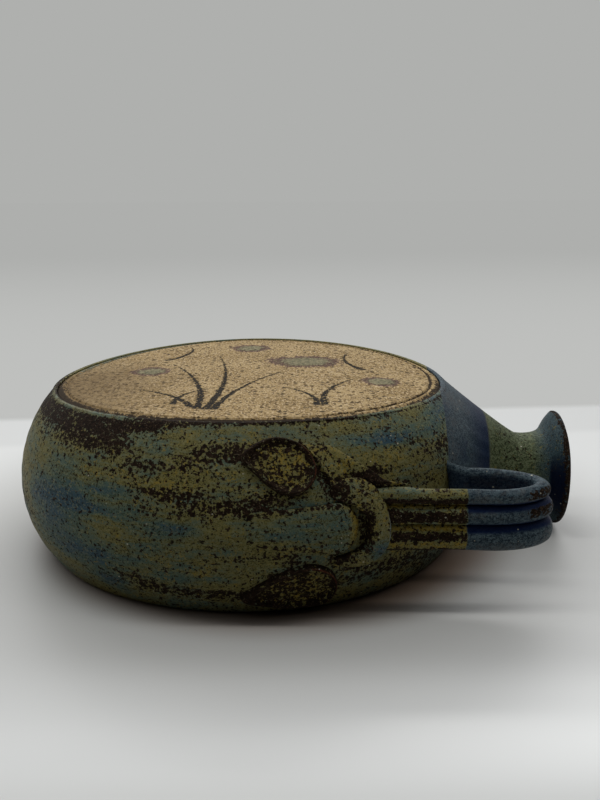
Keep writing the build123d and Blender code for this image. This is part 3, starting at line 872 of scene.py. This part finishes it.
def neck_table():
    """Bezier curves from root to waist, (1 - t)^3 root + 3 t (1 - t)^2 (root - pull along the skin)
    + 3 t^2 (1 - t) (waist - lean along X) + t^3 waist, and then circles on the two profiles."""
    angle = once_round(NECK_COLUMNS, 0)
    across, up = np.sin(angle), np.cos(angle)
    top = np.maximum(up, 0)
    wobble = 0.012 * np.sin(2 * angle + 0.6) + 0.008 * np.sin(5 * angle)

    def ring(reach, radius):
        """Circles about the neck's axis, made a little uneven towards the lip."""
        uneven = radius * (1 + wobble * ease(reach, WAIST_REACH, LIP_REACH))
        return np.stack(np.broadcast_arrays(reach, uneven * across, NECK_HEIGHT + uneven * up), axis=-1)

    root, waist = root_ring(angle), ring(WAIST_REACH, WAIST_RADIUS)
    along_skin = root - root_ring(angle, -1)
    along_skin /= np.linalg.norm(along_skin, axis=-1, keepdims=True)
    pull = (11 + 2 * across**2 - 10.6 * top**3)[..., None]
    lean = (15 - 12.5 * top**2)[..., None]
    start = waist - lean * np.array([1, 0, 0])
    t = np.linspace(0, 1, 64)[:, None, None]
    hips = root * (1 - t) ** 3 + 3 * (root - pull * along_skin) * t * (1 - t) ** 2
    hips = hips + 3 * start * t**2 * (1 - t) + waist * t**3

    flare, inner = smooth_through(FLARE_PROFILE, 40)[1:], smooth_through(BORE_PROFILE, 46)
    edge = np.radians(np.linspace(84, -80, 13))[:, None]
    lip_half = (LIP_RADIUS - MOUTH_RADIUS) / 2
    return np.concatenate([
        root_ring(angle, -4, -2.5), root_ring(angle, 1.4, -0.7), hips,
        ring(WAIST_REACH + flare[:, :1], flare[:, 1:]),
        ring(LIP_REACH - LIP_EDGE * (1 - np.cos(edge)), LIP_RADIUS - lip_half * (1 - np.sin(edge))),
        ring(inner[:, :1], inner[:, 1:]), ring(BELLY - 8.2, 17.5),
    ])


def neck_fields(table):
    """Iron on the lip and in a band about the waist, and thick blue glaze in the near hollow, darkened there
    to near-black navy as painted shade.
    """
    x, y, z = np.moveaxis(table, -1, 0)
    side, radius = np.degrees(np.arctan2(-y, z - NECK_HEIGHT)), np.hypot(y, z - NECK_HEIGHT)
    lip = ease(x, LIP_REACH - 3.4, LIP_REACH - 1.8) * ease(radius, MOUTH_RADIUS - 1.5, MOUTH_RADIUS)
    # Painted shade: the near hollow of the flare is thick blue glaze, darkened to near-black navy.
    hollow = between(x, 119.5, 123.5, 127.6, 128.8) * bell(side, 96, 60, 4) * ease(radius, 12, 17)
    band = between(x, 98, 103, 113, 121)
    iron = -0.05 + 0.34 * band + 0.92 * lip + 0.1 * ease(x, 116, 122)
    pale = 0.1 * ease(x, 113, 120) * (1 - lip)
    return {"iron": iron, "pool": 1.45 * hollow, "ochre": 0.8 * band, "pale": pale}


table = neck_table()
make_piece("thrown_neck", table, "neck_glaze", ("neck",), True, neck_fields(table))

# %% [markdown]
# ## The handle
#
# The handle is a strap pulled from a lump of clay, with three round ribs left by the potter's fingers.
# It leaves the body beside the modelled root, runs along the neck, turns back and dies into the
# shoulder. A bevelled curve could follow that way, but it has one section all along, and this one
# changes where it meets the body. So the strap is a table too, a section carried along a path. The path
# comes first.

# %% Path of the handle
STRAP_LOW, STRAP_HIGH = node_box("handle")
STRAP_HEIGHT, STRAP_WIDTH = 33.5, STRAP_HIGH[2] - STRAP_LOW[2]
STRAP_THICK, STRAP_GAP = 5.2, 17
BEND_REACH, BEND_LEAN, TAIL_SPREAD = 21.5, 1.8, 14
STRAP_FACE, STRAP_END = STRAP_LOW[1], STRAP_HIGH[0]
STRAP_ROOT, STRAP_TAIL = 46.5, 60


def strap_path(count):
    """Middle line in plan and its outward direction: the near leg, half an ellipse and the far leg."""
    bend = (STRAP_GAP + STRAP_THICK) / 2
    turn_x = STRAP_END - 0.6 * STRAP_THICK - BEND_REACH
    half_turn = np.pi * math.hypot(BEND_REACH, bend) / math.sqrt(2)
    near_leg, far_leg = turn_x - STRAP_ROOT, turn_x - STRAP_TAIL
    d = np.linspace(0, near_leg + half_turn + far_leg, count)[:, None]
    swing = np.pi * np.clip((d - near_leg) / half_turn, 0, 1)
    across, along = bend * np.sin(swing), BEND_REACH * np.cos(swing)
    x = np.minimum(STRAP_ROOT + d, turn_x) - np.maximum(d - near_leg - half_turn, 0)
    x = x + BEND_REACH * np.sin(swing)
    y = STRAP_FACE + STRAP_THICK / 2 + bend * (1 - np.cos(swing))
    y = y + TAIL_SPREAD * ease(-x, -82, -66) * (swing > 3)
    size = np.hypot(across, along)
    return x, y, across / size, -along / size


print("the strap's middle line reaches", round(float(strap_path(300)[0].max()), 1), "mm from the axis")

# %% [markdown]
# ### Its section
#
# The section is a closed line: `up` is measured from the strap's middle, and `depth` outwards from the
# loop. Each rib is part of an ellipse, and the side towards the neck is nearly flat. The ribs could be
# three rolls laid side by side, but one line can't leave gaps between them.

# %% Section of the handle
RIB_SHARES, RIB_DEPTH = (0.43, 0.32, 0.25), 2.3


def rounded_edge(up, breadth):
    """1 in the middle of the strap, falling as a quarter circle to 0 at its edges."""
    edge = np.clip(STRAP_WIDTH / 2 - np.abs(up), 0, breadth) / breadth
    return np.sqrt(np.clip(1 - (1 - edge) ** 2, 0, 1))


def strap_section(count):
    """Closed line across the strap: up the ribbed face, round the upper edge and down the flat face."""
    edges = (np.cumsum((0, *RIB_SHARES)) - 0.5) * STRAP_WIDTH
    up = np.linspace(-0.5, 0.5, count)[1:-1] * STRAP_WIDTH
    rib = np.clip(np.searchsorted(edges, up) - 1, 0, 2)
    middle, half = (edges[rib] + edges[rib + 1]) / 2, (edges[rib + 1] - edges[rib]) / 2
    crest = np.sqrt(np.clip(1 - ((up - middle) / half) ** 2, 0, 1)) ** 1.15
    face = (STRAP_THICK / 2 - RIB_DEPTH * (1 - crest) - 0.35 * (rib == 2)) * rounded_edge(up, 1.6) ** 0.5
    down = np.linspace(0.5, -0.5, count // 2)[1:-1] * STRAP_WIDTH
    back = -(STRAP_THICK / 2 - 0.25 * np.cos(down / 7)) * rounded_edge(down, 2.6)
    up = np.concatenate([[-STRAP_WIDTH / 2], up, [STRAP_WIDTH / 2], down])
    depth = np.concatenate([[-0.2], face, [-0.2], back])
    return up[None, :], depth[None, :], np.concatenate([[0], crest, [0.6], 0 * down])


print("points round the strap:", strap_section(110)[0].size)

# %% [markdown]
# ### The strap in its place
#
# Where the strap dies into the body, a point that would be inside is pushed back out to the skin, more
# softly the deeper it is. A Boolean or a remesh could join the two, but this keeps the table, and makes
# the fillet as well. The fields follow the ribs: iron shows where the glaze ran off them, and the glaze
# lies thick and blue in the grooves, set a little low so that it also paints the shade under each rib.

# %% Handle
FILLET_SOFT, FILLET_SINK = 7, 4.2


def pushed_out(points):
    """Points are kept outside a surface below the skin: f becomes (f + sqrt(f^2 + soft^2)) / 2."""
    x, y, rise = np.moveaxis(points - [0, 0, SEAM], -1, 0)
    arc, ring = np.where(rise > 0, FRONT_ARC, BACK_ARC), np.hypot(x, y)
    out = ring - BELLY + arc
    span = np.hypot(out, rise)
    outside = span - arc + FILLET_SINK
    push = (np.sqrt(outside**2 + FILLET_SOFT**2) - outside) / (2 * span)
    return points + push[..., None] * np.stack([out * x / ring, out * y / ring, rise], axis=-1)


def handle_table():
    """The path's place + its outward direction * depth in plan, and STRAP_HEIGHT + up along Z."""
    x, y, out_x, out_y = strap_path(300)
    up, depth, crest = strap_section(110)
    far = ease(y, STRAP_FACE + 12, STRAP_FACE + 22)
    z = STRAP_HEIGHT + up * (1 + 0.1 * far * ease(-x, -84, -74)) + 0.2 * np.sin(x / 9)
    z = z + 0.9 * ease(-x, -66, -54) * (1 - far) * ease(up, 4, 10)
    z = z - 1.6 * far * ease(-x, -84, -73) * ease(z, 34, 44)
    depth = depth * (1 + 0.2 * np.maximum(out_x, 0) ** 2)
    depth = depth + 0.18 * np.sin(x / 5.3 + up / 4) * (depth > 0)
    lean = BEND_LEAN * (0.5 + up / STRAP_WIDTH) * ease(x, STRAP_END - 32, STRAP_END - 8)
    table = np.stack([x - lean + out_x * depth, y + out_y * depth, z], axis=-1)
    on_shoulder = (far > 0.5) & (x < 92)
    return np.where(on_shoulder[..., None], pushed_out(table), table), crest


def handle_fields(table, crest):
    """Stripes that follow the ribs, other ones before and past the edge of the dip."""
    x, y, z = np.moveaxis(table, -1, 0)
    share = (z - STRAP_HEIGHT) / STRAP_WIDTH

    def stripes(*places):
        """Stripes along the strap, each with a middle and a half height in shares of its width."""
        return sum(bell(share, middle, half, 4) for middle, half in places)

    dipped = ease(x + HANDLE_ASKEW * y, HANDLE_DIP - 0.35, HANDLE_DIP + 0.45)
    outer = ease(-y, 66, 74)
    dark = stripes((0.33, 0.055), (0.08, 0.1), (-0.235, 0.075), (-0.48, 0.04)) * outer
    turn_patch = bell(x, 103.5, 6.5, 4) * stripes((0.38, 0.09), (0.1, 0.1)) * outer
    # Painted shade: the groove stripes sit a little below the grooves, so their thick blue glaze also paints
    # the shade under each rib.
    groove = stripes((0.225, 0.07), (-0.11, 0.075)) * outer
    inner = (1 - outer) * (1 - ease(z, 41.5, 43.5))
    pale = 0.34 * ease(crest, 0.6, 1) * outer * (1 - turn_patch) + 0.42 * ease(z, 43.2, 44.4)
    ochre = 1.7 * (stripes((0.25, 0.03), (-0.11, 0.04)) + 0.6 * stripes((-0.37, 0.06)))
    return {
        "iron": (0.4 + 0.72 * dark) * (1 - dipped) + turn_patch * dipped,
        "pool": dipped * (0.02 + 0.95 * groove + 0.48 * inner),
        "pale": dipped * pale,
        "ochre": ochre * (1 - dipped) * outer,
    }


table, crest = handle_table()
make_piece("strap_handle", table, "handle_glaze", ("handle",), fields=handle_fields(table, crest))

# %% [markdown]
# ## Rolls of clay on the skin
#
# The root of the handle is dressed with modelled clay. It could be sculpted, but a roll is easier to
# draw and to change: its middle line on the skin, with a half width and a height at each station. Its
# section is a dome that dips below the skin at both sides, so it has no gap under it, and it shrinks in
# a round end.

# %% Roll helper
ROLL_COLUMNS, ROLL_SINK = 60, 1.2


def roll_on_skin(stations, count, dome, round_start=True):
    """Table, dome's share and places of a roll. A station is (reach, height, half width, crest)."""
    path = smooth_through(stations, count)
    place, half_width, crest = path[:, :2], path[:, 2], path[:, 3]
    ahead = np.gradient(place, axis=0)
    ahead /= np.linalg.norm(ahead, axis=1, keepdims=True)
    length = run_of(place)

    def cap(distance):
        """Round end: sqrt(1 - (1 - distance / half width)^2)."""
        return np.sqrt(1 - (1 - np.clip(distance / half_width, 0, 1)) ** 2)

    taper = np.maximum(cap(length[-1] - length) * (cap(length) if round_start else 1), 0.03)
    around = once_round(ROLL_COLUMNS, 0)
    side = (half_width * taper)[:, None] * np.cos(around)
    share = np.maximum(np.sin(around), 0) ** dome + 0 * side
    lift = (crest * taper)[:, None] * share - ROLL_SINK * np.maximum(-np.sin(around), 0) - 0.25 * (1 - share)
    reach, height = place[:, :1] - ahead[:, 1:] * side, place[:, 1:] + ahead[:, :1] * side
    return on_skin(reach, height, lift), share, reach, height


print("a roll has", ROLL_COLUMNS, "points round it")

# %% [markdown]
# ### The arch and the tongue
#
# The arch is a flat roll bent like a horseshoe over the end of the strap, low at its tips and proud at
# the bend. The tongue lies inside it, smooth and blue, with a dark groove between the two. Both are
# rolls, because they were rolled between the fingers too, and differ in their stations and in how flat
# their domes are.

# %% Arch and tongue
ARCH_STATIONS = [
    (34.4, 44.6, 2.2, 0.7), (39, 44.5, 3.6, 2.3), (43.8, 43.6, 4.5, 3.9), (47.4, 40.6, 4.3, 5),
    (49.4, 37, 3.5, 5.7), (50.1, 32, 3.5, 6.1), (49.7, 27.2, 3.4, 6), (47.4, 23.6, 3, 5.2),
    (43, 21.6, 2.6, 3.8), (38.8, 21.2, 2, 2), (35, 21.6, 1.5, 0.7),
]
TONGUE_STATIONS = [
    (6, 34.4, 5, 0.15), (16, 34, 6.6, 0.6), (26, 33.4, 7.6, 1.4), (36, 32.8, 8.4, 2.5),
    (43.6, 32.2, 8.3, 3.1),
]


def root_ground(share, reach, height, iron):
    """The body's fields under a roll, with the roll's own iron and more of it along its edges."""
    ground = body_fields(reach / BELLY, height)
    top = ease(share, 0.75, 1)
    return 0.5 * ground["iron"] + iron + 0.4 * (1 - top), ground, top


table, share, reach, height = roll_on_skin(ARCH_STATIONS, 150, 0.26)
iron, ground, top = root_ground(share, reach, height, 0.2)
make_piece("root_arch", table, "ornament_glaze", ("handle_arch",), fields={
    "iron": iron + patch_sum([(37, 45, 4, 4, 0.6), (36, 21, 4, 4, 0.5)], reach, height),
    "pool": patch_sum([(49.5, 24.5, 4, 4, 0.9)], reach, height),
    "pale": 0.38 * top + 0.55 * ease(reach, 51.9, 52.7) * ease(share, 0.4, 0.8),
    "ochre": 0.35 + 0.5 * ground["ochre"],
})
table, share, reach, height = roll_on_skin(TONGUE_STATIONS, 110, 0.32, round_start=False)
iron, ground, top = root_ground(share, reach, height, 0.14)
tip = ease(reach, 38.5, 42.5)
make_piece("tongue", table, "ornament_glaze", ("root_tongue",),
           fields={"iron": iron, "pool": 0.34 * top * (1 - tip), "ochre": 1.6 * tip})

# %% [markdown]
# ### The leaves
#
# Above and below the tongue lies a leaf-shaped loop. It could be a roll round a hollow, but the two
# would meet in a crease, so each leaf is one table, a fan of rays from a middle point to the outline.
# Its height depends on the share of the way out: a shallow dish, the rim's ridge, and a fall to below
# the skin.

# %% Leaves
UPPER_LEAF_OUTLINE = [
    (3.2, 56.8), (7.4, 59.8), (11.9, 61.4), (17.6, 62), (23.2, 61), (27.8, 58.8), (30.5, 55.4),
    (31.2, 51.6), (28.9, 47.4), (24.2, 44.8), (18.6, 45), (13.2, 47.6), (8.2, 51.8),
]
LOWER_LEAF_OUTLINE = [
    (1.6, 8.2), (6.2, 13), (11.4, 16.4), (16.3, 19), (21.3, 20.8), (26.4, 21.7), (30.9, 20.6), (34.8, 18),
    (37.4, 13.7), (37.8, 8.2), (35.2, 4.4), (28, 3), (18, 3.6), (9, 5.6),
]
LEAF_CREST = 1.7


def make_leaf(name, node, outline, middle):
    """Points at middle + share * (outline - middle), lifted by a dish and a ridge, less a fall outside."""
    edge = smooth_through(outline, 150, closed=True)
    share = np.linspace(0.03, 1, 46)[:, None]
    reach = middle[0] + share * (edge[:, 0] - middle[0])
    height = middle[1] + share * (edge[:, 1] - middle[1])
    dish = 0.35 + 0.25 * share**2 + LEAF_CREST * bell(share, 0.86, 0.085)
    lift = dish * (1 - ease(share, 0.9, 0.985)) - 0.5 * ease(share, 0.93, 1)
    under = on_skin(reach[[-1, 0]], height[[-1, 0]], -1.6)
    rim = bell(share, 0.88, 0.14) + 0 * reach
    fields = {
        "iron": 0.58 + 0.35 * body_fields(reach / BELLY, height)["iron"] + 0.45 * rim,
        "ochre": 0.9 * (1 - rim),
        "bare": 0.5 * bell(share, 0.88, 0.05) * ease(reach, 14, 30),
        "pool": 0.25 * ease(share, 0.95, 1) + 0 * reach,
    }
    fields = {key: np.concatenate([value, value[[-1, 0]]]) for key, value in fields.items()}
    table = np.concatenate([on_skin(reach, height, lift), under])
    make_piece(name, table, "ornament_glaze", (node,), fields=fields)


make_leaf("upper_leaf_relief", "upper_leaf", UPPER_LEAF_OUTLINE, (20.5, 53.4))
make_leaf("lower_leaf_relief", "lower_leaf", LOWER_LEAF_OUTLINE, (27, 11.6))

# %% [markdown]
# ### The strip
#
# The clay of the strap's upper edge was smeared up the shoulder, beside the upper leaf. It is a strip
# between two ridges, the right one sharper, and it sinks into the skin at the top. A roll has only one
# ridge, so two splines give the ridges here, and the sheet is spread between them.

# %% Strip
STRIP_LEFT = [
    (37.4, 42.6), (36, 44.3), (34.1, 46.8), (32.3, 50.5), (30.7, 53.6), (28.6, 56.8), (26, 59.6), (23, 62),
]
STRIP_RIGHT = [
    (60.8, 43.4, 7), (56.5, 44.8, 6.4), (52.6, 46.2, 5.2), (50.2, 48.4, 4.1), (47.8, 50.6, 3.2),
    (44.7, 53, 2.3), (42, 55.1, 1.4), (39.4, 57.2, 0.7), (36.6, 59.2, 0.2), (33.6, 61.4, 0),
]
RIGHT_RIDGE = 0.93


def strip_table(rows, columns):
    """Sheet between two ridges. The right one is as high as the strap at its foot, and sinks above."""
    left, right = smooth_through(STRIP_LEFT, rows), smooth_through(STRIP_RIGHT, rows)
    along, across = np.linspace(0, 1, rows)[:, None], np.linspace(0, 1, columns)[None, :]
    reach, height = (left[:, i:i + 1] + across / RIGHT_RIDGE * (right[:, i:i + 1] - left[:, i:i + 1])
                     for i in (0, 1))
    left_ridge = (1.9 - 1.5 * along) * bell(across, 0.07, 0.055) * ease(along, 0, 0.08)
    climb = ease(across, 0.25, RIGHT_RIDGE) ** 1.5 * (1 - ease(across, 0.935, 0.985))
    middle = (0.9 - 0.7 * along) * ease(across, 0, 0.12)
    lift = left_ridge + np.maximum(middle, right[:, 2:3] * climb) - 1.5 * ease(along, 0.78, 1)
    lift = lift - 1 * (1 - ease(across, 0, 0.05)) - 1.6 * ease(across, 0.955, 1)
    under = on_skin(reach[:, ::-1], height[:, ::-1], -2.6)
    ridge = bell(across, RIGHT_RIDGE, 0.05) * (1 - ease(along, 0.75, 1))
    table = np.concatenate([on_skin(reach, height, lift), under], axis=1)
    return table, ridge, left_ridge / 1.9, reach, height


def strip_fields(right_ridge, left_ridge, reach, height):
    """Iron behind the ridges, rubbed clay on them."""
    ground = body_fields(reach / BELLY, height)["iron"]
    behind = patch_sum([(49, 47, 9, 2.4, 1), (40, 45.5, 5, 2.6, 0.7)], reach, height)
    fields = {
        "iron": 0.34 + 0.4 * ground + 0.35 * left_ridge + behind - 0.1 * right_ridge,
        "ochre": 0.5 + 0 * reach,
        "bare": 0.3 * left_ridge**2 + 0.22 * right_ridge,
        "pale": 0.3 * right_ridge,
    }
    return {key: np.concatenate([value, value[:, ::-1]], axis=1) for key, value in fields.items()}


table, *places = strip_table(110, 72)
make_piece("shoulder_strip", table, "ornament_glaze", ("upper_strip",), fields=strip_fields(*places))

# %% [markdown]
# ## The table
#
# The flask lies on a plain pale table whose far edge meets a pale wall. Two objects could show them,
# but the wall would catch light and shade, and it is even in the picture. So one large plane shows
# both: past the edge it takes the wall's grey. Nearer by, its colour carries painted shadows round the
# flask, a painted contact shadow under it and a painted band of light in front of it.

# %% Table
TABLE_HALF, TABLE_DROP = 6, 0.0002
TABLE_AXIS = (10, 0, 0)


def seen_by_camera(nodes, share, other, shown):
    """Shader that is `shown` to the camera and `other` to the light."""
    blend = {0: nodes.times(share, nodes.add("LightPath", "Is Camera Ray")), 1: other, 2: shown}
    return nodes.add("MixShader", 0, blend)


def table_material():
    """Painted shadows and a painted band of light over the table's tone, by smooth steps of place, and a
    glow for the wall.
    """
    s = Shader("table")
    x, y = s.axis("X"), s.axis("Y")
    slant = s.sum(y, (-0.1, x))
    away = s.vector_math("DISTANCE", s.place, TABLE_AXIS)
    # Painted shade: `front` darkens the table towards the front left of the flask, as soft shadow.
    front = s.times(s.step(y, -160, 60, 0.5, 0), s.step(x, -110, 0, 1, 0))
    # Painted light: a lighter band across the table in front of the flask, on its right.
    painted_light_band = s.times(s.step(y, -176, -148), s.step(y, -130, -106, 0.9, 0))
    colour = s.layer((214, 215, 213), (205, 206, 204), slant, 112, 126)
    colour = s.mix(front, colour, (194, 195, 192))
    # Painted shade: the table turns darker towards its near edge.
    colour = s.layer(colour, (194, 195, 192), y, -185, -158, 0.8, 0)
    colour = s.mix(s.times(painted_light_band, s.step(x, -90, 0)), colour, (238, 239, 237))
    # Painted shadow: a soft dark ring round the flask, fading out 190 mm from its axis.
    colour = s.layer(colour, (158, 157, 152), away, 100, 190, 0.6, 0)
    # Painted contact shadow close round the flask's foot, warm brown as a painted reflection of the glaze.
    colour = s.layer(colour, (104, 82, 62), away, 82, 107, 0.9, 0)
    material = s.painted(colour, 0.45, 0.25)
    wall = s.layer((191, 192, 190), (174, 175, 173), slant, 200, 1500)
    glow, behind = s.add("Emission", 0, {"Color": wall}), s.step(slant, 168, 182)
    shader = seen_by_camera(s, behind, s.surface.outputs[0], glow)
    s.put(s.tree.nodes["Material Output"].inputs["Surface"], shader)
    return material


sheet = bpy.data.meshes.new("table_top")
corners = [(x * TABLE_HALF, y * TABLE_HALF, -TABLE_DROP) for x, y in ((-1, -1), (1, -1), (1, 1), (-1, 1))]
sheet.from_pydata(corners, [], [(0, 1, 2, 3)])
sheet.materials.append(table_material())
table_top = add_object("table_top", sheet)
print("table, m across:", 2 * TABLE_HALF)

# %% [markdown]
# ## The light
#
# The light is soft and comes mostly from above and behind, so the face is bright and the near side lies
# in gentle shade. Lamps alone would give hard edges in the glaze, so most of it comes from a sky that
# is brightest above and behind. Two long tubes add shadows on the table that are drawn out along one
# direction.

# %% Light
BRIGHTEST = (-0.12, 0.68, 0.72)
WALL_GREY = linear(175, 176, 174)
TUBE_LENGTH, TUBE_BREADTH = 1.3, 0.05


def tube_light(name, place, target, power):
    """Lamp long along X and narrow across, which blurs shadows along X alone."""
    data = bpy.data.lights.new(name, "AREA")
    data.shape, data.size, data.size_y, data.energy = "RECTANGLE", TUBE_LENGTH, TUBE_BREADTH, power
    away = np.array(place) - np.array(target)
    away /= np.linalg.norm(away)
    side = np.array([1, 0, 0])
    add_object(name, data).matrix_world = matrix_of((side, np.cross(away, side), away), place)


def light_world():
    """Sky: strength = 0.92 * cosine of the angle to its brightest direction, and 0 past 90 degrees."""
    world = bpy.data.worlds.new("room")
    bpy.context.scene.world = world
    world.use_nodes = True
    w = Nodes(world.node_tree)
    towards = w.vector_math("DOT_PRODUCT", w.add("TexCoord", "Generated"), BRIGHTEST)
    light = w.tree.nodes["Background"]
    w.put(light.inputs["Color"], (0.97, 0.98, 1, 1))
    w.put(light.inputs["Strength"], w.ramp(towards, 0, 1, 0, 0.92))
    shader = seen_by_camera(w, 1, light.outputs[0], w.add("Background", 0, {"Color": WALL_GREY}))
    w.put(w.tree.nodes["World Output"].inputs["Surface"], shader)


tube_light("tube_above", (-0.1, -0.12, 0.6), (-0.1, -0.08, 0), 1.9)
tube_light("tube_behind", (-0.1, 0.6, 0.56), (-0.1, 0, 0), 3.6)
light_world()

# %% [markdown]
# ## Close
#
